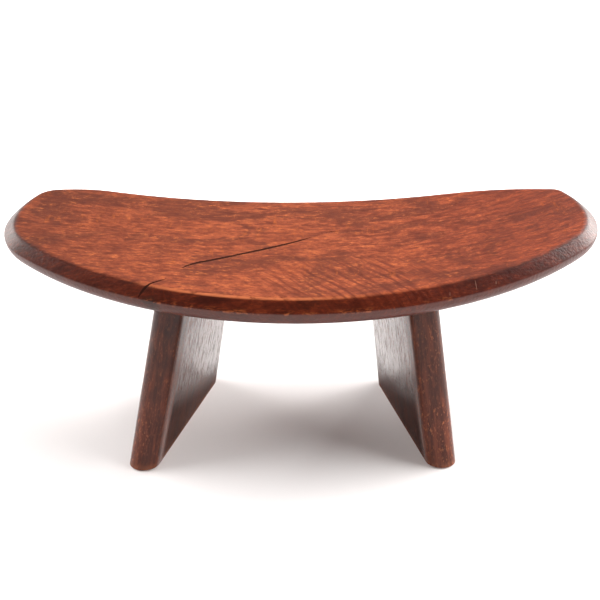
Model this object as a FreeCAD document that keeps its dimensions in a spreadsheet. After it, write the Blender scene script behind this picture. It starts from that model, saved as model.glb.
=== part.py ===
import FreeCAD, Part
import math
import os
import Sketcher

# A low kneeling bench: a crescent seat board on two splayed plank legs, with hidden glued dowels between.
# Millimetres. +Z is up from the floor, and the convex front edge of the seat faces -Y.
# The seat leans forward: its own plane is turned about X by seat_tilt.

SIZES = {
    # outline of the board, at the ridge that runs round its edge
    "seat_width": 472.0,
    "seat_thickness": 20.0,
    "front_to_widest": 142.6,
    "end_front_radius": 75.0,
    "left_end_rear_radius": 102.0,
    "right_end_rear_radius": 87.0,
    "waist_depth": 172.5,
    "hollow_radius": 515.0,
    "left_horn_depth": 202.0,
    "right_horn_depth": 195.0,
    "left_horn_radius": 122.0,
    "right_horn_radius": 300.0,
    "left_corner_radius": 24.0,
    "right_corner_radius": 16.0,
    # shaping of the board's edge
    "bevel_width": 9.0,
    "bevel_drop": 7.0,
    "belly_radius": 12.0,
    "ridge_flat": 1.0,
    # how the seat stands
    "seat_tilt": 6.0,
    "front_height": 155.0,
    # plank legs: the centres of each plank's two round noses, on the floor (foot) and under the seat
    # (landing), from the middle of the bench and from the front of the seat's curve
    "leg_thickness": 23.6,
    "left_foot_front_x": 123.0,
    "left_foot_front_y": 43.0,
    "left_foot_rear_x": 89.0,
    "left_foot_rear_y": 168.5,
    "left_landing_front_x": 94.0,
    "left_landing_front_y": 45.0,
    "left_landing_rear_x": 63.0,
    "left_landing_rear_y": 150.5,
    "right_foot_front_x": 107.0,
    "right_foot_front_y": 43.0,
    "right_foot_rear_x": 80.0,
    "right_foot_rear_y": 161.5,
    "right_landing_front_x": 87.0,
    "right_landing_front_y": 47.0,
    "right_landing_rear_x": 63.0,
    "right_landing_rear_y": 143.5,
    "sole_easing": 1.0,
    # dowels: how far each goes in, and how far the end ones stand in from the plank's nose centres
    "dowel_diameter": 8.0,
    "dowel_in_seat": 10.0,
    "dowel_in_leg": 18.0,
    "dowel_point": 1.0,
    "dowel_inset": 8.0,
    "glue_clearance": 0.1,
    "socket_spare": 1.0,
    # from the front of the curve back to the frame's origin, set once the seat is built
    "origin_setback": 0.0,
}
SIDES = {"left": -1, "right": 1}
DOWEL_PLACES = ("front", "middle", "rear")

doc = FreeCAD.newDocument("kneeling_bench")
sheet = doc.addObject("Spreadsheet::Sheet", "sizes")
for row, (alias, value) in enumerate(SIZES.items(), start=1):
    sheet.set("A%d" % row, alias)
    sheet.set("B%d" % row, str(value))
    sheet.setAlias("B%d" % row, alias)
doc.recompute()


def cell(alias):
    """A formula's reference to one size."""
    return "sizes." + alias


# The seat's plane, as formulas: its tilt, and where its underside meets the line x = 0, y = 0.
TILT = "(sizes.seat_tilt * 1 deg)"
UNDERSIDE_Y = "(sizes.seat_thickness * sin(%s))" % TILT
UNDERSIDE_Z = "(sizes.front_height - sizes.seat_thickness * cos(%s))" % TILT


def value_of(formula):
    """A formula's value now, as a plain number."""
    result = sheet.evalExpression(formula)
    return float(getattr(result, "Value", result))


# ------------------------------------------------------------------ bodies, sketches and features

def new_body(label):
    body = doc.addObject("PartDesign::Body", label)
    body.Label = label
    return body


def origin_plane(body, role):
    for feature in body.Origin.OriginFeatures:
        if feature.Role == role:
            return feature


def floor_sketch(body, name):
    """A sketch on the body's own XY plane."""
    sketch = body.newObject("Sketcher::SketchObject", name)
    sketch.AttachmentSupport = (origin_plane(body, "XY_Plane"), [""])
    sketch.MapMode = "FlatFace"
    return sketch


def underside_sketch(body, name):
    """A sketch on the plane of the seat's underside, for a body that stands in the floor's frame."""
    sketch = floor_sketch(body, name)
    sketch.AttachmentOffset = FreeCAD.Placement(FreeCAD.Vector(), FreeCAD.Rotation(FreeCAD.Vector(1, 0, 0), 1))
    sketch.setExpression("AttachmentOffset.Rotation.Angle", TILT)
    sketch.setExpression("AttachmentOffset.Base.y", UNDERSIDE_Y)
    sketch.setExpression("AttachmentOffset.Base.z", UNDERSIDE_Z)
    return sketch


def bind(sketch, name, formula, kind, *where):
    """Add a named constraint to a sketch, and tie it to the sheet."""
    index = sketch.addConstraint(Sketcher.Constraint(kind, *where, value_of(formula)))
    sketch.renameConstraint(index, name)
    sketch.setExpression("Constraints." + name, formula)


START, END, CENTRE = 1, 2, 3
ORIGIN = (-1, 1)


def place_centre(sketch, name, curve, side, x, y):
    """Hold a curve's centre at x to one side of the sketch's origin, and at y behind it."""
    if side < 0:
        bind(sketch, name + "_x", x, "DistanceX", curve, CENTRE, *ORIGIN)
    else:
        bind(sketch, name + "_x", x, "DistanceX", *ORIGIN, curve, CENTRE)
    bind(sketch, name + "_y", y, "DistanceY", *ORIGIN, curve, CENTRE)


def edges_at_height(shape, height):
    """Names of the edges that lie level at one height of a body's own frame."""
    names = []
    for number, edge in enumerate(shape.Edges, start=1):
        box = edge.BoundBox
        if abs(box.ZMin - height) < 1e-4 and abs(box.ZMax - height) < 1e-4:
            names.append("Edge%d" % number)
    return names


def cut_sockets(body, sketch, name, depth, reverse):
    """Pocket a sketch of round sockets, and make sure that it took wood away."""
    before = body.Shape.Volume
    pocket = body.newObject("PartDesign::Pocket", name)
    pocket.Profile = sketch
    pocket.Reversed = reverse
    pocket.setExpression("Length", depth)
    body.Tip = pocket
    doc.recompute()
    if not body.Shape.Volume < before - 1:
        raise RuntimeError(name + " cut nothing")


# ------------------------------------------------------------------ seat board

def circle_crossing(first, first_radius, second, second_radius, side):
    """Where circles about two centres cross, at the point further out to one side."""
    gap = second - first
    along = (gap.Length ** 2 + first_radius ** 2 - second_radius ** 2) / (2 * gap.Length)
    across = math.sqrt(first_radius ** 2 - along ** 2)
    unit = FreeCAD.Vector(gap).normalize()
    normal = FreeCAD.Vector(-unit.y, unit.x, 0)
    ends = [first + unit * along + normal * across, first + unit * along - normal * across]
    return max(ends, key=lambda point: side * point.x)


def touching_point(first, second, first_radius):
    """Where the circle about first touches the one about second, on the line of centres."""
    return first + (second - first).normalize() * first_radius


def seat_outline(sketch):
    """Ten tangent arcs, anticlockwise: front, then the end's front and rear arcs, its corner and its horn
    at the right, the hollow back, and the same four back round the left end."""
    size = SIZES
    widest = size["front_to_widest"]
    end_front = size["end_front_radius"]
    hollow = size["hollow_radius"]
    half = size["seat_width"] / 2
    front_formula = (
        "((sizes.seat_width / 2 - sizes.end_front_radius)^2 + sizes.front_to_widest^2"
        " - sizes.end_front_radius^2) / (2 * (sizes.front_to_widest - sizes.end_front_radius))"
    )
    front = value_of(front_formula)
    front_centre = FreeCAD.Vector(0, front, 0)
    hollow_centre = FreeCAD.Vector(0, size["waist_depth"] + hollow, 0)

    circles = {}
    points = {}
    for side, sign in SIDES.items():
        end_rear = size[side + "_end_rear_radius"]
        horn_radius = size[side + "_horn_radius"]
        corner_radius = size[side + "_corner_radius"]
        horn_y = size[side + "_horn_depth"] - horn_radius
        horn_x = math.sqrt((hollow + horn_radius) ** 2 - (hollow_centre.y - horn_y) ** 2)
        near = FreeCAD.Vector(sign * (half - end_front), widest, 0)
        far = FreeCAD.Vector(sign * (half - end_rear), widest, 0)
        horn = FreeCAD.Vector(sign * horn_x, horn_y, 0)
        corner = circle_crossing(far, end_rear - corner_radius, horn, horn_radius - corner_radius, sign)
        circles[side] = {
            "end_front": (near, end_front),
            "end_rear": (far, end_rear),
            "corner": (corner, corner_radius),
            "horn": (horn, horn_radius),
        }
        points[side] = {
            "front": touching_point(front_centre, near, front),
            "widest": FreeCAD.Vector(sign * half, widest, 0),
            "corner": touching_point(far, corner, end_rear),
            "horn": touching_point(horn, corner, horn_radius),
            "hollow": touching_point(hollow_centre, horn, hollow),
        }

    def arc(centre, radius, start, end):
        """Anticlockwise from one point to another."""
        angles = [math.atan2(point.y - centre.y, point.x - centre.x) for point in (start, end)]
        circle = Part.Circle(centre, FreeCAD.Vector(0, 0, 1), radius)
        return sketch.addGeometry(Part.ArcOfCircle(circle, *angles), False)

    left, right = points["left"], points["right"]
    curve = {
        "front": arc(front_centre, front, left["front"], right["front"]),
        "right_end_front": arc(*circles["right"]["end_front"], right["front"], right["widest"]),
        "right_end_rear": arc(*circles["right"]["end_rear"], right["widest"], right["corner"]),
        "right_corner": arc(*circles["right"]["corner"], right["corner"], right["horn"]),
        "right_horn": arc(*circles["right"]["horn"], right["horn"], right["hollow"]),
        "hollow": arc(hollow_centre, hollow, left["hollow"], right["hollow"]),
        "left_horn": arc(*circles["left"]["horn"], left["hollow"], left["horn"]),
        "left_corner": arc(*circles["left"]["corner"], left["horn"], left["corner"]),
        "left_end_rear": arc(*circles["left"]["end_rear"], left["corner"], left["widest"]),
        "left_end_front": arc(*circles["left"]["end_front"], left["widest"], left["front"]),
    }
    joins = [
        ("front", END, "right_end_front", START),
        ("right_end_front", END, "right_end_rear", START),
        ("right_end_rear", END, "right_corner", START),
        ("right_corner", END, "right_horn", START),
        ("right_horn", END, "hollow", END),
        ("hollow", START, "left_horn", START),
        ("left_horn", END, "left_corner", START),
        ("left_corner", END, "left_end_rear", START),
        ("left_end_rear", END, "left_end_front", START),
        ("left_end_front", END, "front", START),
    ]
    for first, first_end, second, second_end in joins:
        sketch.addConstraint(
            Sketcher.Constraint("Tangent", curve[first], first_end, curve[second], second_end))

    bind(sketch, "front_y", front_formula, "DistanceY", *ORIGIN, curve["front"], CENTRE)
    bind(sketch, "hollow_r", cell("hollow_radius"), "Radius", curve["hollow"])
    sketch.addConstraint(Sketcher.Constraint("PointOnObject", curve["hollow"], CENTRE, -2))
    bind(sketch, "hollow_y", "sizes.waist_depth + sizes.hollow_radius",
         "DistanceY", *ORIGIN, curve["hollow"], CENTRE)
    for side, sign in SIDES.items():
        horn_depth, horn_radius = cell(side + "_horn_depth"), cell(side + "_horn_radius")
        bind(sketch, side + "_end_front_r", cell("end_front_radius"), "Radius", curve[side + "_end_front"])
        bind(sketch, side + "_end_rear_r", cell(side + "_end_rear_radius"), "Radius", curve[side + "_end_rear"])
        place_centre(sketch, side + "_end", curve[side + "_end_front"], sign,
                     "sizes.seat_width / 2 - sizes.end_front_radius", cell("front_to_widest"))
        bind(sketch, side + "_widest_y", cell("front_to_widest"),
             "DistanceY", *ORIGIN, curve[side + "_end_rear"], CENTRE)
        bind(sketch, side + "_corner_r", cell(side + "_corner_radius"), "Radius", curve[side + "_corner"])
        bind(sketch, side + "_horn_r", horn_radius, "Radius", curve[side + "_horn"])
        horn_y = "%s - %s" % (horn_depth, horn_radius)
        if value_of(horn_y) < 0:
            bind(sketch, side + "_horn_y", "%s - %s" % (horn_radius, horn_depth),
                 "DistanceY", curve[side + "_horn"], CENTRE, *ORIGIN)
        else:
            bind(sketch, side + "_horn_y", horn_y, "DistanceY", *ORIGIN, curve[side + "_horn"], CENTRE)


def dowel_spot(side, place):
    """Formulas for x and y of one dowel in the seat's plane, along the middle line of its leg's landing."""
    front_x, front_y = cell(side + "_landing_front_x"), cell(side + "_landing_front_y")
    rear_x, rear_y = cell(side + "_landing_rear_x"), cell(side + "_landing_rear_y")
    run = "sqrt((%s - %s)^2 + (%s - %s)^2)" % (rear_x, front_x, rear_y, front_y)
    share = {
        "front": "(sizes.dowel_inset / %s)" % run,
        "middle": "0.5",
        "rear": "(1 - sizes.dowel_inset / %s)" % run,
    }[place]
    x = "(%s + (%s - %s) * %s)" % (front_x, rear_x, front_x, share)
    y = "(%s + (%s - %s) * %s)" % (front_y, rear_y, front_y, share)
    return x, y


def draw_sockets(sketch, sides):
    """Circles for the dowel sockets of the sides asked for, with room for glue."""
    for side in sides:
        sign = SIDES[side]
        for place in DOWEL_PLACES:
            x, y = dowel_spot(side, place)
            centre = FreeCAD.Vector(sign * value_of(x), value_of(y), 0)
            radius = "sizes.dowel_diameter / 2 + sizes.glue_clearance"
            circle = sketch.addGeometry(Part.Circle(centre, FreeCAD.Vector(0, 0, 1), value_of(radius)), False)
            name = "%s_%s" % (side, place)
            bind(sketch, name + "_r", radius, "Radius", circle)
            place_centre(sketch, name, circle, sign, x, y)


def make_seat():
    body = new_body("seat")
    outline = floor_sketch(body, "seat_outline")
    seat_outline(outline)

    board = body.newObject("PartDesign::Pad", "board")
    board.Profile = outline
    board.setExpression("Length", cell("seat_thickness"))
    doc.recompute()

    bevel = body.newObject("PartDesign::Chamfer", "top_bevel")
    bevel.Base = (board, edges_at_height(board.Shape, value_of(cell("seat_thickness"))))
    bevel.ChamferType = "Two distances"
    bevel.setExpression("Size", cell("bevel_drop"))
    bevel.setExpression("Size2", cell("bevel_width"))
    doc.recompute()

    belly = body.newObject("PartDesign::Fillet", "belly")
    belly.Base = (bevel, edges_at_height(bevel.Shape, 0))
    room = "sizes.seat_thickness - sizes.bevel_drop - sizes.ridge_flat"
    belly.setExpression("Radius", "min(sizes.belly_radius; %s)" % room)
    body.Tip = belly
    doc.recompute()

    sockets = floor_sketch(body, "seat_socket_circles")
    draw_sockets(sockets, SIDES)
    cut_sockets(body, sockets, "seat_sockets", "sizes.dowel_in_seat + sizes.socket_spare", True)

    body.Placement.Rotation = FreeCAD.Rotation(FreeCAD.Vector(1, 0, 0), 1)
    body.setExpression("Placement.Rotation.Angle", TILT)
    body.setExpression("Placement.Base.y", "%s - sizes.origin_setback" % UNDERSIDE_Y)
    body.setExpression("Placement.Base.z", UNDERSIDE_Z)
    doc.recompute()
    return body


# ------------------------------------------------------------------ plank legs

def plank_section(sketch, side, level, nose_radius="sizes.leg_thickness / 2"):
    """A plank's outline at the foot or the landing: two straight faces between two round noses."""
    sign = SIDES[side]
    radius = value_of(nose_radius)
    noses = {}
    for end in ("front", "rear"):
        stem = "%s_%s_%s" % (side, level, end)
        noses[end] = FreeCAD.Vector(sign * value_of(cell(stem + "_x")), value_of(cell(stem + "_y")), 0)
    along = (noses["rear"] - noses["front"]).normalize()
    right = FreeCAD.Vector(along.y, -along.x, 0)
    heading = math.atan2(along.y, along.x)
    quarter = math.pi / 2
    upright = FreeCAD.Vector(0, 0, 1)

    def nose(centre, middle_angle):
        circle = Part.Circle(centre, upright, radius)
        return Part.ArcOfCircle(circle, middle_angle - quarter, middle_angle + quarter)

    front = sketch.addGeometry(nose(noses["front"], heading + math.pi), False)
    right_face = sketch.addGeometry(
        Part.LineSegment(noses["front"] + right * radius, noses["rear"] + right * radius), False)
    rear = sketch.addGeometry(nose(noses["rear"], heading), False)
    left_face = sketch.addGeometry(
        Part.LineSegment(noses["rear"] - right * radius, noses["front"] - right * radius), False)

    ring = [(front, END, right_face, START), (right_face, END, rear, START),
            (rear, END, left_face, START), (left_face, END, front, START)]
    for join in ring:
        sketch.addConstraint(Sketcher.Constraint("Tangent", *join))
    bind(sketch, "nose_radius", nose_radius, "Radius", front)
    for end, curve in (("front", front), ("rear", rear)):
        stem = "%s_%s_%s" % (side, level, end)
        place_centre(sketch, end, curve, sign, cell(stem + "_x"), cell(stem + "_y"))


def make_leg(side):
    body = new_body(side + "_leg")
    sole = floor_sketch(body, side + "_sole")
    plank_section(sole, side, "foot", "sizes.leg_thickness / 2 - sizes.sole_easing")
    foot = floor_sketch(body, side + "_foot")
    foot.setExpression("AttachmentOffset.Base.z", cell("sole_easing"))
    plank_section(foot, side, "foot")
    landing = underside_sketch(body, side + "_landing")
    plank_section(landing, side, "landing")
    doc.recompute()

    plank = body.newObject("PartDesign::AdditiveLoft", side + "_plank")
    plank.Profile = sole
    plank.Sections = [foot, landing]
    plank.Ruled = True
    body.Tip = plank
    doc.recompute()

    sockets = underside_sketch(body, side + "_socket_circles")
    draw_sockets(sockets, [side])
    cut_sockets(body, sockets, side + "_sockets", "sizes.dowel_in_leg + sizes.socket_spare", False)

    body.setExpression("Placement.Base.y", "-sizes.origin_setback")
    doc.recompute()
    return body


# ------------------------------------------------------------------ dowels

def make_dowel(side, place):
    """A straight dowel with pointed-off ends, standing square to the seat's underside."""
    body = new_body("%s_%s_dowel" % (side, place))
    name = body.Label
    sketch = floor_sketch(body, name + "_circle")
    radius = "sizes.dowel_diameter / 2"
    circle = sketch.addGeometry(
        Part.Circle(FreeCAD.Vector(), FreeCAD.Vector(0, 0, 1), value_of(radius)), False)
    bind(sketch, "radius", radius, "Radius", circle)
    sketch.addConstraint(Sketcher.Constraint("Coincident", circle, CENTRE, *ORIGIN))

    rod = body.newObject("PartDesign::Pad", name + "_rod")
    rod.Profile = sketch
    rod.setExpression("Length", "sizes.dowel_in_leg + sizes.dowel_in_seat")
    doc.recompute()

    points = body.newObject("PartDesign::Chamfer", name + "_points")
    length = value_of("sizes.dowel_in_leg + sizes.dowel_in_seat")
    points.Base = (rod, edges_at_height(rod.Shape, 0) + edges_at_height(rod.Shape, length))
    points.setExpression("Size", cell("dowel_point"))
    body.Tip = points

    x, y = dowel_spot(side, place)
    body.Placement.Rotation = FreeCAD.Rotation(FreeCAD.Vector(1, 0, 0), 1)
    body.setExpression("Placement.Rotation.Angle", TILT)
    body.setExpression("Placement.Base.x", "%d * %s" % (SIDES[side], x))
    body.setExpression(
        "Placement.Base.y",
        "%s + %s * cos(%s) + sizes.dowel_in_leg * sin(%s) - sizes.origin_setback" % (UNDERSIDE_Y, y, TILT, TILT))
    body.setExpression(
        "Placement.Base.z", "%s + %s * sin(%s) - sizes.dowel_in_leg * cos(%s)" % (UNDERSIDE_Z, y, TILT, TILT))
    doc.recompute()
    return body


# ------------------------------------------------------------------ the bench

nodes = [make_seat()]
for bench_side in SIDES:
    nodes.append(make_leg(bench_side))
    for dowel_place in DOWEL_PLACES:
        nodes.append(make_dowel(bench_side, dowel_place))

# The frame's origin is on the floor, midway between the front and the back of the whole bench.
whole = Part.makeCompound([node.Shape for node in nodes]).optimalBoundingBox(False, False)
sheet.set(sheet.getCellFromAlias("origin_setback"), str(whole.Center.y))
doc.recompute()

for item in doc.Objects:
    if "Invalid" in item.State or "Error" in item.State:
        raise RuntimeError("%s failed: %s" % (item.Name, item.State))
for node in nodes:
    if node.Shape.isNull() or not node.Shape.isValid() or len(node.Shape.Solids) != 1:
        raise RuntimeError(node.Label + " is not one valid solid")

os.makedirs("parts", exist_ok=True)
for node in nodes:
    node.Shape.exportStep(os.path.join("parts", node.Label + ".step"))
    print(node.Label, round(node.Shape.Volume), node.Shape.BoundBox)
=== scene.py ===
import math

import bmesh
import bpy
from mathutils import Matrix, Vector
from mathutils.bvhtree import BVHTree


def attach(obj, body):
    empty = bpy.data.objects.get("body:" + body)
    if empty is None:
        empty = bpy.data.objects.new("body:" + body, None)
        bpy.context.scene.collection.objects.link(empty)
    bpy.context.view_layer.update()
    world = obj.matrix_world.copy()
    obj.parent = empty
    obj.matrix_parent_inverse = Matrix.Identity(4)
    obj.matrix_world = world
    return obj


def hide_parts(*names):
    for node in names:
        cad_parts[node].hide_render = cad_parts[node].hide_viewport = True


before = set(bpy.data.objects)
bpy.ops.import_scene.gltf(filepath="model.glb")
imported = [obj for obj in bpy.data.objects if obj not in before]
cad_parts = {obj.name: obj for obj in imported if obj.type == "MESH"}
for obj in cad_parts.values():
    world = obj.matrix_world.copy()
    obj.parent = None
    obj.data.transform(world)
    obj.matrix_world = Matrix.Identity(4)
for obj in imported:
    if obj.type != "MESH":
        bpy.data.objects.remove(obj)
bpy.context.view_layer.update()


# ---------------------------------------------------------------- seat board
# A crescent cut from one plank of reddish-brown hardwood. Its upper edge is planed to a bevel and its
# lower edge rounded over, both are eased by hand, and the whole is stained and lacquered. Drying checks,
# thin cracks whose walls are painted near black as painted shade, cross the left half of the top, and use
# has left a few small nicks.

SEAT_LEAN = math.radians(6)
BOARD_THICKNESS = 0.020
BEVEL_DROP = 0.007
ARRIS_EASING = 0.0030
RIDGE_EASING = 0.0008
# A narrow rim just inside the flat faces, which keeps their shading level up to their edges.
FLAT_MARGIN = 0.0008
# Corners of the CAD mesh closer than this are one corner, and faces that turn less than this are one face.
SAME_POINT = 2e-6
SAME_FACE = math.radians(0.3)
# How far a corner may lie from a level and still count as being on it.
LEVEL_TOLERANCE = 2e-5
# Edges that turn more sharply than this stay sharp in the shading.
SHARP_TURN = math.radians(35)
# How far above the top a place on it is looked for, straight down through the board.
LOOK_FROM = 0.01
# Points along each crack and nick, in the board's plane, with half the width there.
CRACKS = {
    "front_check": [(-0.1145, -0.0610, 0.0004), (-0.1128, -0.0589, 0.0011), (-0.1096, -0.0555, 0.0012),
                    (-0.1034, -0.0505, 0.0010), (-0.0958, -0.0461, 0.0002)],
    "long_check": [(-0.0864, -0.0309, 0.0003), (-0.0821, -0.0250, 0.0013), (-0.0611, -0.0176, 0.0013),
                   (-0.0431, -0.0096, 0.0012), (-0.0263, -0.0024, 0.0013), (-0.0008, 0.0100, 0.0011),
                   (0.0084, 0.0161, 0.0001)],
    "short_check": [(0.0185, 0.0239, 0.0001), (0.0240, 0.0254, 0.0005), (0.0301, 0.0261, 0.0001)],
}
NICKS = {
    "long_nick": [(0.1226, -0.0497, 0.0002), (0.1228, -0.0520, 0.0005), (0.1234, -0.0560, 0.0002)],
    "short_nick": [(0.1383, -0.0464, 0.0002), (0.1382, -0.0475, 0.0005), (0.1381, -0.0485, 0.0002)],
    "pale_chip": [(-0.0916, 0.0196, 0.0002), (-0.0911, 0.0196, 0.0005), (-0.0906, 0.0196, 0.0002)],
    "front_nick": [(0.1035, -0.0616, 0.0001), (0.1034, -0.0628, 0.0004), (0.1033, -0.0641, 0.0001)],
}


def board_height(point):
    """How high a point is, measured square to the leaning board."""
    return point[2] * math.cos(SEAT_LEAN) - point[1] * math.sin(SEAT_LEAN)


def merged_copy(node):
    """A CAD node's shape as a bmesh, with its loose triangles joined and its flat faces made whole."""
    shape = bmesh.new()
    shape.from_mesh(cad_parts[node].data)
    bmesh.ops.remove_doubles(shape, verts=shape.verts, dist=SAME_POINT)
    bmesh.ops.dissolve_limit(shape, angle_limit=SAME_FACE, verts=shape.verts, edges=shape.edges)
    return shape


def at_level(edge_or_face, level):
    """Whether all the corners of an edge or a face lie at one level of the leaning board."""
    return all(abs(board_height(corner.co) - level) < LEVEL_TOLERANCE for corner in edge_or_face.verts)


def ease(shape, edges, width, segments):
    """Round over a run of edges."""
    bmesh.ops.bevel(
        shape, geom=edges, offset=width, offset_type="OFFSET", segments=segments, profile=0.5,
        affect="EDGES", material=-1, clamp_overlap=True)


def finished(shape, name):
    """Turn a bmesh into a smooth-shaded object in the scene."""
    mesh = bpy.data.meshes.new(name)
    shape.to_mesh(mesh)
    shape.free()
    mesh.shade_smooth()
    mesh.set_sharp_from_angle(angle=SHARP_TURN)
    piece = bpy.data.objects.new(name, mesh)
    bpy.context.scene.collection.objects.link(piece)
    return piece


board = merged_copy("seat")
TOP_LEVEL = max(board_height(vertex.co) for vertex in board.verts)
RIDGE_LEVEL = TOP_LEVEL - BEVEL_DROP
UNDERSIDE_LEVEL = TOP_LEVEL - BOARD_THICKNESS
ease(board, [edge for edge in board.edges if at_level(edge, TOP_LEVEL)], ARRIS_EASING, segments=6)
ease(board, [edge for edge in board.edges if at_level(edge, RIDGE_LEVEL)], RIDGE_EASING, segments=3)
for flat_level in (TOP_LEVEL, UNDERSIDE_LEVEL):
    flat_faces = [face for face in board.faces if at_level(face, flat_level)]
    bmesh.ops.inset_region(board, faces=flat_faces, thickness=FLAT_MARGIN, use_even_offset=True)
surface = BVHTree.FromBMesh(board)
seat = finished(board, "seat_board")


def on_board(x, y):
    """The point of the seat's surface above one place in the board's plane."""
    lean = Matrix.Rotation(SEAT_LEAN, 3, "X")
    start = lean @ Vector((x, y, TOP_LEVEL + LOOK_FROM))
    down = lean @ Vector((0, 0, -1))
    return surface.ray_cast(start, down)[0]


def shown_mesh(piece):
    """A mesh of the piece with its modifiers applied."""
    bpy.context.view_layer.update()
    shown = piece.evaluated_get(bpy.context.evaluated_depsgraph_get())
    return bpy.data.meshes.new_from_object(shown)


def groove_cutter(name, points, colour_material):
    """A thin tapered rod that lies half sunk in the surface along a crack."""
    curve = bpy.data.curves.new(name, "CURVE")
    curve.dimensions = "3D"
    curve.bevel_depth = 1.0
    curve.bevel_resolution = 1
    curve.use_fill_caps = True
    spline = curve.splines.new("NURBS")
    spline.points.add(len(points) - 1)
    for spline_point, (x, y, half_width) in zip(spline.points, points):
        spline_point.co = (*on_board(x, y), 1)
        spline_point.radius = half_width
    spline.order_u = 3
    spline.use_endpoint_u = True
    spline.resolution_u = 3
    rod = bpy.data.objects.new(name, curve)
    mesh = bpy.data.meshes.new_from_object(rod)
    bpy.data.objects.remove(rod)
    mesh.materials.clear()
    mesh.materials.append(colour_material)
    cutter = bpy.data.objects.new(name, mesh)
    bpy.context.scene.collection.objects.link(cutter)
    return cutter


def carve(piece, cutter):
    """Cut a groove with the cutter, which lends its material to the groove's walls."""
    cut = piece.modifiers.new("groove", "BOOLEAN")
    cut.operation = "DIFFERENCE"
    cut.solver = "EXACT"
    cut.material_mode = "TRANSFER"
    cut.object = cutter
    carved = shown_mesh(piece)
    piece.modifiers.clear()
    piece.data = carved
    bpy.data.objects.remove(cutter)


def shade_like(piece, whole):
    """Give a carved piece the smooth shading that it had while it was whole."""
    transfer = piece.modifiers.new("shading", "DATA_TRANSFER")
    transfer.object = whole
    transfer.use_loop_data = True
    transfer.data_types_loops = {"CUSTOM_NORMAL"}
    transfer.loop_mapping = "POLYINTERP_NEAREST"
    shaded = shown_mesh(piece)
    piece.modifiers.clear()
    piece.data = shaded
    bpy.data.objects.remove(whole)


class Value:
    """One output of a shader node. Arithmetic on it adds Math nodes."""

    def __init__(self, finish, socket):
        self.finish = finish
        self.socket = socket

    def math(self, operation, first, second=0.0):
        """Add one Math node."""
        return self.finish.node("ShaderNodeMath", {"operation": operation}, {0: first, 1: second})

    def __add__(self, other):
        return self.math("ADD", self, other)

    def __sub__(self, other):
        return self.math("SUBTRACT", self, other)

    def __rsub__(self, other):
        return self.math("SUBTRACT", other, self)

    def __mul__(self, other):
        return self.math("MULTIPLY", self, other)

    def __truediv__(self, other):
        return self.math("DIVIDE", self, other)

    def __abs__(self):
        return self.math("ABSOLUTE", self)

    __radd__ = __add__
    __rmul__ = __mul__


class Finish:
    """A material built from shader nodes round one Principled shader."""

    def __init__(self, name, constants):
        self.material = bpy.data.materials.new(name)
        self.material.use_nodes = True
        self.tree = self.material.node_tree
        self.shader = self.tree.nodes["Principled BSDF"]
        for socket, value in constants.items():
            self.shader.inputs[socket].default_value = value

    def node(self, kind, settings=None, inputs=None, output=0):
        """Add a node, with its settings first and then its sockets' values or links."""
        made = self.tree.nodes.new(kind)
        for setting, value in (settings or {}).items():
            setattr(made, setting, value)
        for socket, value in (inputs or {}).items():
            if isinstance(value, Value):
                self.tree.links.new(value.socket, made.inputs[socket])
            else:
                made.inputs[socket].default_value = value
        return Value(self, made.outputs[output])

    def feed(self, socket, value):
        """Link a value to one of the shader's own sockets."""
        self.tree.links.new(value.socket, self.shader.inputs[socket])

    def place(self, turn=(0, 0, 0)):
        """Object coordinates, turned about the origin."""
        plain = self.node("ShaderNodeTexCoord", output="Object")
        return self.node("ShaderNodeMapping", inputs={"Vector": plain, "Rotation": turn})

    def parts(self, vector):
        """The three numbers of a vector."""
        return [self.node("ShaderNodeSeparateXYZ", inputs={0: vector}, output=axis) for axis in "XYZ"]

    def vector(self, x, y, z):
        """A vector, or a colour, from three numbers."""
        return self.node("ShaderNodeCombineXYZ", inputs={0: x, 1: y, 2: z})

    def step(self, value, low, high, to_low=0.0, to_high=1.0):
        """A smooth rise from to_low to to_high as the value goes from low to high."""
        return self.node("ShaderNodeMapRange", {"interpolation_type": "SMOOTHSTEP"},
                         {"Value": value, "From Min": low, "From Max": high,
                          "To Min": to_low, "To Max": to_high})

    def grain(self, x, y, z, scale, detail=3.0, roughness=0.55, warp=0.0):
        """Noise drawn out along the plank: scale gives how many lumps to the metre along each axis."""
        spread = self.vector(x * scale[0], y * scale[1], z * scale[2])
        return self.node("ShaderNodeTexNoise", inputs={
            "Vector": spread, "Scale": 1.0, "Detail": detail, "Roughness": roughness, "Distortion": warp})

    def blend(self, factor, first, second, kind="MIX"):
        """Mix two colours."""
        return self.node("ShaderNodeMix", {"data_type": "RGBA", "blend_type": kind, "clamp_factor": True},
                         {0: factor, 6: first, 7: second}, output=2)

    def bump(self, height, distance):
        """Raise the surface by a height from 0 to 1, worth so many metres."""
        normal = self.node("ShaderNodeBump", inputs={"Height": height, "Distance": distance})
        self.feed("Normal", normal)


def oval(finish, x, y, centre, size):
    """1 at the centre of an oval patch, fading to 0 at its rim."""
    across = (x - centre[0]) / size[0]
    along = (y - centre[1]) / size[1]
    return finish.step(across * across + along * along, 0.0, 1.0, 1.0, 0.0)
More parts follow.
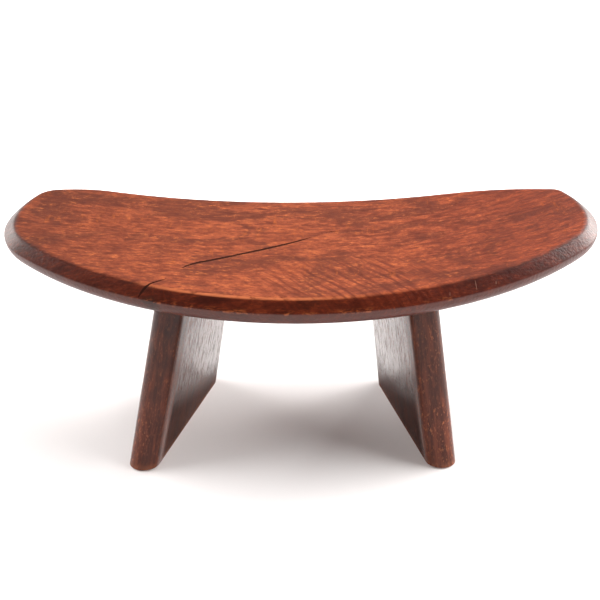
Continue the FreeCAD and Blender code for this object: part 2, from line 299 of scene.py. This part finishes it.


# The seat's colours: the two shades of the stain, the darker and lighter patches over them, the wear, and
# painted light: shade in the bevels and the checks, a highlight on the arris and glints on the ridge.
STAIN_DEEP = (0.148, 0.0330, 0.0175, 1)
STAIN_RED = (0.335, 0.0790, 0.0340, 1)
SMOKE_BROWN = (0.112, 0.0260, 0.0150, 1)
CLOUD_BROWN = (0.094, 0.0250, 0.0160, 1)
GLOWING_RED = (0.365, 0.0800, 0.0280, 1)
FLECK_GOLD = (0.640, 0.1850, 0.0560, 1)
CURL_AMBER = (0.420, 0.1000, 0.0220, 1)
DASH_BROWN = (0.085, 0.0170, 0.0085, 1)
PORE_BROWN = (0.055, 0.0130, 0.0085, 1)
# Multiplies everything below the top's arris: partly a darker stain on the shaped edges, partly painted
# shade on faces turned away from the light.
BEVEL_STAIN_AND_SHADE = (0.30, 0.20, 0.18, 1)
EDGE_BROWN = (0.090, 0.0260, 0.0180, 1)
SMUDGE_BLACK = (0.022, 0.0080, 0.0060, 1)
# Lighter orange along the front arris: partly rubbed wear, partly a painted highlight.
ARRIS_RUB_AND_HIGHLIGHT = (0.520, 0.1500, 0.0600, 1)
# Painted glints: orange specks on the ridge that stand for highlights.
RIDGE_GLINT_ORANGE = (0.360, 0.0950, 0.0300, 1)
# The checks' walls: near black, painted shade deep in the cracks.
CHECK_SHADE_BLACK = (0.052, 0.0200, 0.0150, 1)
NICK_PALE = (0.30, 0.16, 0.12, 1)
# Oval patches on the board, as a centre and a half size: where the flame figure lies, a dark smudge at the
# front check, and the stretch of the front arris that is lighter, partly rubbed by hands and partly a
# painted highlight.
FLAME_PATCH = ((0.035, -0.048), (0.095, 0.048))
SMUDGE_PATCH = ((-0.1090, -0.0655), (0.0120, 0.0055))
ARRIS_RUB_AND_HIGHLIGHT_PATCH = ((-0.045, -0.075), (0.105, 0.05))
# The flame figure lies slantwise, turned by 47 degrees: the cosine and the sine of its turn.
FLAME_COSINE = 0.68
FLAME_SINE = 0.73
# The board is palest at this place along it, and darkens over this stretch to either side.
PALEST_PLACE = -0.015
DARKENING = (0.03, 0.22)
BROWNING = (0.0, 0.22)
# The depths below the top between which each edge's colour comes in or fades out.
BEVEL_BEGINS = (0.0000, 0.0009)
LOWER_EDGE_BEGINS = (0.0068, 0.0076)
ARRIS_BEGINS = (0.0000, 0.0003)
ARRIS_ENDS = (0.0005, 0.0012)
RIDGE_BEGINS = (0.0046, 0.0066)
RIDGE_ENDS = (0.0074, 0.0088)
# The painted glints on the ridge lie in the middle of the board only: how far out they start to fade, and
# where they end.
GLINT_REACH = (0.09, 0.17)
SEAT_RELIEF = 0.00030
CHECK_ROUGHNESS = 0.8
NICK_ROUGHNESS = 0.35


def seat_patterns(wood, x, y, z):
    """The grain patterns of the seat, drawn out along a line that bends with the crescent."""
    bent = y - x * x * (1.0 + 1.5 * x)
    streaks = wood.grain(x, bent, z, (62, 240, 60), detail=6.0, roughness=0.75, warp=0.5)
    turned_x = x * FLAME_COSINE - y * FLAME_SINE
    turned_y = x * FLAME_SINE + y * FLAME_COSINE
    flame = wood.grain(turned_x, turned_y, z, (36, 300, 60), detail=5.0, roughness=0.68, warp=0.5)
    flame_patch = oval(wood, x, y, *FLAME_PATCH)
    curl = wood.grain(x, bent, z, (240, 60, 60), detail=3.0, roughness=0.6, warp=0.8)
    curl_mask = wood.step(wood.grain(x, y, z, (17, 30, 20), detail=2.0), 0.50, 0.64)
    return {
        "figure": streaks * (1 - flame_patch) + flame * flame_patch,
        "curl": wood.step(curl, 0.56, 0.70) * curl_mask,
        "clouds": wood.grain(x, bent, z, (12, 27, 30), detail=7.0, roughness=0.68, warp=1.0),
        "smoke": wood.grain(x, bent, z, (52, 88, 60), detail=6.0, roughness=0.72, warp=1.0),
        "dashes": wood.grain(x, bent, z, (230, 760, 300), detail=4.0, roughness=0.75, warp=0.5),
        "pores": wood.grain(x, bent, z, (120, 1700, 500), detail=2.0, roughness=0.5),
    }


def stained(wood, grain):
    """Mottled reddish stain over the grain patterns."""
    figure, clouds, smoke, dashes = grain["figure"], grain["clouds"], grain["smoke"], grain["dashes"]
    colour = wood.blend(wood.step(figure, 0.36, 0.62), STAIN_DEEP, STAIN_RED)
    colour = wood.blend(wood.step(smoke, 0.49, 0.60) * 0.42, colour, SMOKE_BROWN)
    colour = wood.blend(wood.step(clouds, 0.49, 0.58) * 0.60, colour, CLOUD_BROWN)
    glow = wood.step(clouds, 0.32, 0.47, 1.0, 0.0) * wood.step(smoke, 0.35, 0.60, 1.0, 0.2)
    colour = wood.blend(glow * 0.45, colour, GLOWING_RED)
    in_the_clear = wood.step(smoke, 0.40, 0.60, 1.0, 0.15)
    fleck = wood.step(dashes, 0.53, 0.63) * wood.step(figure, 0.38, 0.62) * in_the_clear
    colour = wood.blend(fleck * 0.95, colour, FLECK_GOLD)
    colour = wood.blend(grain["curl"] * 0.45, colour, CURL_AMBER)
    colour = wood.blend(wood.step(dashes, 0.34, 0.47, 1.0, 0.0) * 0.55, colour, DASH_BROWN)
    return wood.blend(wood.step(grain["pores"], 0.62, 0.72) * 0.35, colour, PORE_BROWN)


def darkened_ends(wood, colour, x):
    """The stain lies thicker towards the ends of the board, and browner at the right one."""
    tone = wood.step(abs(x - PALEST_PLACE), *DARKENING, 1.03, 0.80)
    warm = tone * wood.step(x, *BROWNING, 1.0, 0.84)
    return wood.blend(1.0, colour, wood.vector(tone, warm, warm), kind="MULTIPLY")


def edge_wear_and_painted_light(wood, colour, grain, x, y, depth, in_bevel):
    """Bevels darkened, partly a darker stain and partly painted shade, a darker lower edge, a smudge at the
    front check, an arris partly rubbed and partly a painted highlight, and painted glints on the ridge.
    """
    # Everything below the top's arris is darkened: partly a darker stain, partly painted shade.
    colour = wood.blend(in_bevel, colour, BEVEL_STAIN_AND_SHADE, kind="MULTIPLY")
    lower_edge = wood.step(depth, *LOWER_EDGE_BEGINS)
    colour = wood.blend(lower_edge * 0.5, colour, EDGE_BROWN)
    smudge = oval(wood, x, y, *SMUDGE_PATCH) * wood.step(grain["smoke"], 0.36, 0.50)
    colour = wood.blend(smudge * 0.8, colour, SMUDGE_BLACK)
    # The arris line: partly rubbed wear, partly a painted highlight.
    arris = wood.step(depth, *ARRIS_BEGINS) * wood.step(depth, *ARRIS_ENDS, 1.0, 0.0)
    arris_rub_and_highlight = oval(wood, x, y, *ARRIS_RUB_AND_HIGHLIGHT_PATCH) * wood.step(grain["figure"], 0.36, 0.52)
    colour = wood.blend(arris * arris_rub_and_highlight * 0.80, colour, ARRIS_RUB_AND_HIGHLIGHT)
    # Painted glints along the ridge, in the middle of the board only.
    ridge = wood.step(depth, *RIDGE_BEGINS) * wood.step(depth, *RIDGE_ENDS, 1.0, 0.0)
    ridge_glints = wood.step(grain["smoke"], 0.46, 0.58) * wood.step(grain["dashes"], 0.46, 0.60)
    ridge_glints = ridge_glints * wood.step(abs(x), *GLINT_REACH, 1.0, 0.0)
    return wood.blend(ridge * ridge_glints * 0.60, colour, RIDGE_GLINT_ORANGE)


def seat_finish():
    """Mottled reddish stain with curl and flame figure, bevels darker partly by stain and partly with
    painted shade, the arris partly rubbed and partly a painted highlight, and painted glints on the ridge.
    """
    wood = Finish("seat_wood", {"IOR": 1.5, "Specular IOR Level": 0.40})
    x, y, z = wood.parts(wood.place((-SEAT_LEAN, 0, 0)))
    depth = TOP_LEVEL - z
    in_bevel = wood.step(depth, *BEVEL_BEGINS)
    grain = seat_patterns(wood, x, y, z)
    colour = darkened_ends(wood, stained(wood, grain), x)
    wood.feed("Base Color", edge_wear_and_painted_light(wood, colour, grain, x, y, depth, in_bevel))

    wood.feed("Roughness", 0.38 - in_bevel * 0.12 + grain["clouds"] * 0.10 + grain["pores"] * 0.06)
    orange_peel = wood.grain(x, y, z, (420, 420, 420), detail=2.0)
    relief = grain["figure"] * 0.4 + grain["dashes"] * 0.3 + grain["pores"] * 0.2
    relief = relief + orange_peel * (0.3 + in_bevel * 0.7)
    wood.bump(relief, SEAT_RELIEF)
    return wood.material


def plain_finish(name, colour, roughness):
    """The walls of a crack or a nick, in the colour given: near black painted shade for a crack, pale bare
    wood for a nick.
    """
    walls = Finish(name, {"Roughness": roughness, "Specular IOR Level": 0.2})
    x, y, z = walls.parts(walls.place())
    dust = walls.grain(x, y, z, (900, 900, 900), detail=2.0)
    darker = tuple(part * 0.5 for part in colour[:3]) + (1,)
    walls.feed("Base Color", walls.blend(dust, darker, colour))
    return walls.material


seat.data.materials.clear()
seat.data.materials.append(seat_finish())
uncut_seat = seat.copy()
bpy.context.scene.collection.objects.link(uncut_seat)
# The checks' walls are near black: painted shade deep in the cracks.
crack_shade_walls = plain_finish("painted_check_shade", CHECK_SHADE_BLACK, CHECK_ROUGHNESS)
for crack_name, crack_points in CRACKS.items():
    carve(seat, groove_cutter(crack_name, crack_points, crack_shade_walls))
nick_walls = plain_finish("nick_wood", NICK_PALE, NICK_ROUGHNESS)
for nick_name, nick_points in NICKS.items():
    carve(seat, groove_cutter(nick_name, nick_points, nick_walls))
shade_like(seat, uncut_seat)
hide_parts("seat")
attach(seat, "root")


# ---------------------------------------------------------------- plank legs
# Two planks of the same wood with fully rounded front and rear edges, splayed out and turned in towards
# the back. Their tops are cut to the seat's lean, glued and dowelled to it. The soles are eased and rubbed.

SOLE_EASING = 0.0015
# A corner lower than this stands on the floor.
ON_FLOOR = 1e-5
# How far each plank is turned from upright, seen from the front. The grain runs along it.
LEG_TILT = {"left_leg": math.radians(-11), "right_leg": math.radians(7.5)}
LEG_DEEP = (0.045, 0.0115, 0.0065, 1)
LEG_RED = (0.108, 0.0265, 0.0125, 1)
LEG_CLOUD = (0.030, 0.0095, 0.0070, 1)
LEG_SPECK = (0.300, 0.0850, 0.0320, 1)
SOLE_RUBBED = (0.250, 0.0850, 0.0380, 1)
# Between these heights the leg's colour passes from its foot's to its top's: the faces' painted shade,
# darkest at the foot, fades out going up.
FOOT_HEIGHT = 0.020
UPPER_HEIGHT = 0.120
# Where the rounded front edge gives way to the flat faces, and how far that moves back with each metre up.
FRONT_EDGE = (-0.061, -0.052)
FRONT_RAKE = 0.09
# The heights between which the lacquer on the faces thickens, and how far they drop with each metre back.
LACQUER_BEGINS = (0.018, 0.056)
LACQUER_DROP = 0.35
# The heights between which the rub marks round the sole fade out.
SOLE_RUB_ENDS = (0.001, 0.007)
LEG_RELIEF = 0.00040


def leg_finish(name, tilt):
    """Darker stain with the grain running down the leg, pale flecks, and a rubbed sole.

    The front edge is paler at the foot, the faces are darker there with painted shade, and their lacquer is
    thin low down.
    """
    wood = Finish(name, {"IOR": 1.5, "Specular IOR Level": 0.03, "Coat Roughness": 0.12, "Coat IOR": 1.41})
    height = wood.parts(wood.place())[2]
    x, y, z = wood.parts(wood.place((0, tilt, 0)))
    streaks = wood.grain(x, y, z, (230, 230, 24), detail=6.0, roughness=0.72, warp=0.5)
    clouds = wood.grain(x, y, z, (36, 36, 20), detail=4.0, roughness=0.62)
    specks = wood.grain(x, y, z, (700, 700, 260), detail=3.0, roughness=0.65)
    strokes = wood.grain(x, y, z, (330, 330, 80), detail=5.0, roughness=0.75, warp=0.4)
    colour = wood.blend(wood.step(streaks, 0.38, 0.64), LEG_DEEP, LEG_RED)
    colour = wood.blend(wood.step(clouds, 0.50, 0.66) * 0.65, colour, LEG_CLOUD)
    speck = wood.step(specks, 0.55, 0.68) * wood.step(clouds, 0.40, 0.58, 1.0, 0.25)
    colour = wood.blend(speck * 0.65, colour, LEG_SPECK)
    front = wood.step(y - height * FRONT_RAKE, *FRONT_EDGE, 1.0, 0.0)
    # Painted shade: the faces darken towards the foot, where they mirror the shaded floor.
    face_painted_shade = wood.step(height, FOOT_HEIGHT, UPPER_HEIGHT, 0.60, 1.0)
    front_tone = wood.step(height, FOOT_HEIGHT, UPPER_HEIGHT, 1.40, 0.90)
    tone = face_painted_shade * (1 - front) + front_tone * front
    colour = wood.blend(1.0, colour, wood.vector(tone, tone, tone), kind="MULTIPLY")
    sole = wood.step(height, *SOLE_RUB_ENDS, 1.0, 0.0) * wood.step(strokes, 0.36, 0.58)
    colour = wood.blend(sole * 0.60, colour, SOLE_RUBBED)
    wood.feed("Base Color", colour)
    wood.feed("Roughness", 0.34 + clouds * 0.12 + streaks * 0.10)
    lacquer = wood.step(height + y * LACQUER_DROP, *LACQUER_BEGINS)
    sheen = lacquer * wood.step(strokes, 0.40, 0.56, 0.50, 1.0)
    wood.feed("Coat Weight", sheen * (1 - front) + front * 0.6)
    wood.bump(streaks * 0.2 + strokes * 0.5 + specks * 0.3, LEG_RELIEF)
    return wood.material


for leg_node, leg_tilt in LEG_TILT.items():
    plank = merged_copy(leg_node)
    sole_edges = [edge for edge in plank.edges if all(corner.co.z < ON_FLOOR for corner in edge.verts)]
    ease(plank, sole_edges, SOLE_EASING, segments=2)
    leg = finished(plank, leg_node.replace("leg", "plank"))
    leg.data.materials.clear()
    leg.data.materials.append(leg_finish(leg_node + "_wood", leg_tilt))
    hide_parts(leg_node)
    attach(leg, "root")


# ---------------------------------------------------------------- dowels
# Six plain beech dowels, three to a leg, hidden and glued in blind sockets in the legs' tops and the
# seat's underside.

BEECH_DARK = (0.500, 0.320, 0.180, 1)
BEECH_PALE = (0.660, 0.470, 0.290, 1)
BEECH_FLECK = (0.300, 0.160, 0.080, 1)
DOWEL_RELIEF = 0.00008


def dowel_finish():
    """Pale beech, with short dark flecks along the rod."""
    beech = Finish("dowel_wood", {"IOR": 1.45})
    x, y, z = beech.parts(beech.place((-SEAT_LEAN, 0, 0)))
    streaks = beech.grain(x, y, z, (700, 700, 40), detail=4.0, roughness=0.6)
    flecks = beech.grain(x, y, z, (1500, 1500, 260), detail=1.0)
    colour = beech.blend(beech.step(streaks, 0.35, 0.65), BEECH_DARK, BEECH_PALE)
    colour = beech.blend(beech.step(flecks, 0.62, 0.70) * 0.6, colour, BEECH_FLECK)
    beech.feed("Base Color", colour)
    beech.feed("Roughness", 0.55 + streaks * 0.15)
    beech.bump(streaks, DOWEL_RELIEF)
    return beech.material


beech_rod = dowel_finish()
for node_name, node_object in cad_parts.items():
    if node_name.endswith("_dowel"):
        node_object.data.materials.clear()
        node_object.data.materials.append(beech_rod)


# ---------------------------------------------------------------- studio
# A pale, faintly glowing floor with a white horizon. A broad soft panel lights the bench from each side and
# a small one from behind, and a long strip lights the floor behind it. The sky is dim above, with a pale
# sweep at the back and a bright soft glow low on either side, which the polished faces and edges mirror.

FLOOR_REACH = 30.0
FLOOR_COLOUR = (0.80, 0.79, 0.79, 1)
FLOOR_ROUGHNESS = 0.9
FLOOR_GLOW = 0.12
FLOOR_GLOW_COLOUR = (1.0, 0.90, 0.87, 1)
# Each panel's strength, width in degrees, height above the floor in degrees, and turn from straight behind.
PANELS = {"left": (2.9, 50, 42, 80), "right": (4.4, 56, 38, -89), "rear": (0.32, 7, 40, -27)}
PANEL_COLOUR = (1.0, 0.985, 0.975)
STRIP_POWER = 8.0
STRIP_LENGTH = 1.8
STRIP_WIDTH = 0.5
STRIP_PLACE = (0, 0.80, 0.50)
STRIP_SPREAD = math.radians(75)
SKY_COLOUR = (1, 0.94, 0.91, 1)
ROOM_BRIGHTNESS = 0.06
# The sweep's brightness, and how many times that it is at its left and its right end. Where it comes in and
# fades out, as the backward, upward and sideways shares of a direction.
REAR_BRIGHTNESS = 0.20
SWEEP_SIDES = (0.8, 1.7)
SWEEP_BEGINS = (-0.05, 0.40)
SWEEP_TOP = (0.25, 0.50)
SWEEP_ENDS = (-0.8, 0.8)
# Each glow's degrees round from straight behind, its height and reach in degrees, and its brightness.
SIDE_GLOWS = [(-51, 17, 21, 5.0), (53, 18, 25, 8.5)]
# The share of a glow's reach that is at full brightness.
GLOW_CORE = 0.4
HORIZON_BRIGHTNESS = 1.15
HORIZON_TOP = (0.11, 0.20)

floor_shape = bmesh.new()
bmesh.ops.create_grid(floor_shape, x_segments=1, y_segments=1, size=FLOOR_REACH)
floor = finished(floor_shape, "floor")
pale = Finish("floor_paint", {
    "Base Color": FLOOR_COLOUR, "Roughness": FLOOR_ROUGHNESS, "Specular IOR Level": 0.0,
    "Emission Color": FLOOR_GLOW_COLOUR, "Emission Strength": FLOOR_GLOW})
floor.data.materials.append(pale.material)

for side, (strength, spread, height, from_rear) in PANELS.items():
    panel = bpy.data.lights.new(side + "_panel", "SUN")
    panel.energy = strength
    panel.angle = math.radians(spread)
    panel.color = PANEL_COLOUR
    panel_object = bpy.data.objects.new(side + "_panel", panel)
    panel_object.matrix_world = (
        Matrix.Rotation(math.radians(from_rear), 4, "Z")
        @ Matrix.Rotation(math.radians(height - 90), 4, "X"))
    panel_object.visible_glossy = False
    bpy.context.scene.collection.objects.link(panel_object)

strip = bpy.data.lights.new("rear_strip", "AREA")
strip.shape = "RECTANGLE"
strip.size = STRIP_LENGTH
strip.size_y = STRIP_WIDTH
strip.energy = STRIP_POWER
strip.spread = STRIP_SPREAD
strip_object = bpy.data.objects.new("rear_strip", strip)
strip_object.matrix_world = Matrix.Translation(Vector(STRIP_PLACE))
bpy.context.scene.collection.objects.link(strip_object)

sky = bpy.data.worlds.new("studio")
bpy.context.scene.world = sky
sky.use_nodes = True


def sky_node(kind, settings, inputs):
    """Add a node to the sky, with its settings and its sockets' values or links."""
    made = sky.node_tree.nodes.new(kind)
    for setting, value in settings.items():
        setattr(made, setting, value)
    for socket, value in inputs.items():
        if isinstance(value, bpy.types.NodeSocket):
            sky.node_tree.links.new(value, made.inputs[socket])
        else:
            made.inputs[socket].default_value = value
    return made.outputs


def sky_math(operation, first, second):
    """Add or multiply two brightnesses."""
    return sky_node("ShaderNodeMath", {"operation": operation}, {0: first, 1: second})[0]


def sky_step(value, low, high, to_low, to_high):
    """A smooth change from one brightness to another."""
    return sky_node("ShaderNodeMapRange", {"interpolation_type": "SMOOTHSTEP"}, {
        "Value": value, "From Min": low, "From Max": high, "To Min": to_low, "To Max": to_high})[0]


def side_glow(look, from_rear, height, reach, glow):
    """The brightness of one soft round glow, which falls off from its core to its edge."""
    turn = Matrix.Rotation(math.radians(-from_rear), 3, "Z") @ Matrix.Rotation(math.radians(height), 3, "X")
    towards = tuple(turn @ Vector((0, 1, 0)))
    nearness = sky_node("ShaderNodeVectorMath", {"operation": "DOT_PRODUCT"}, {0: look, 1: towards})["Value"]
    edge = math.cos(math.radians(reach))
    core = math.cos(math.radians(reach * GLOW_CORE))
    return sky_step(nearness, edge, core, 0.0, glow)


look = sky_node("ShaderNodeTexCoord", {}, {})["Generated"]
sideways, back, up = sky_node("ShaderNodeSeparateXYZ", {}, {0: look})
towards_rear = sky_step(back, *SWEEP_BEGINS, 0.0, REAR_BRIGHTNESS)
low_down = sky_step(up, *SWEEP_TOP, 1.0, 0.0)
sweep_lift = sky_step(sideways, *SWEEP_ENDS, *SWEEP_SIDES)
sweep = sky_math("MULTIPLY", sky_math("MULTIPLY", towards_rear, low_down), sweep_lift)
horizon = sky_step(up, *HORIZON_TOP, HORIZON_BRIGHTNESS, ROOM_BRIGHTNESS)
brightness = sky_math("ADD", sweep, horizon)
for glow_figures in SIDE_GLOWS:
    brightness = sky_math("ADD", brightness, side_glow(look, *glow_figures))
backdrop = sky.node_tree.nodes["Background"]
backdrop.inputs["Color"].default_value = SKY_COLOUR
sky.node_tree.links.new(brightness, backdrop.inputs["Strength"])

bpy.context.scene.view_settings.view_transform = "Standard"


# ---------------------------------------------------------------- camera
# A 60 mm lens on a 36 mm frame, 0.71 m in front of the bench and 0.44 m up. It looks down 25 degrees, and
# is rolled by half a degree.

LENS_LENGTH = 60
FRAME_WIDTH = 36
FAR_LIMIT = 100
CAMERA_PLACE = (-0.00119, -0.71255, 0.44431)
CAMERA_PITCH = math.radians(65)
CAMERA_ROLL = math.radians(-0.48)

lens = bpy.data.cameras.new("camera")
lens.lens = LENS_LENGTH
lens.sensor_width = FRAME_WIDTH
lens.clip_end = FAR_LIMIT
camera = bpy.data.objects.new("camera", lens)
camera.matrix_world = (
    Matrix.Translation(Vector(CAMERA_PLACE))
    @ Matrix.Rotation(CAMERA_PITCH, 4, "X")
    @ Matrix.Rotation(CAMERA_ROLL, 4, "Z"))
bpy.context.scene.collection.objects.link(camera)
bpy.context.scene.camera = camera
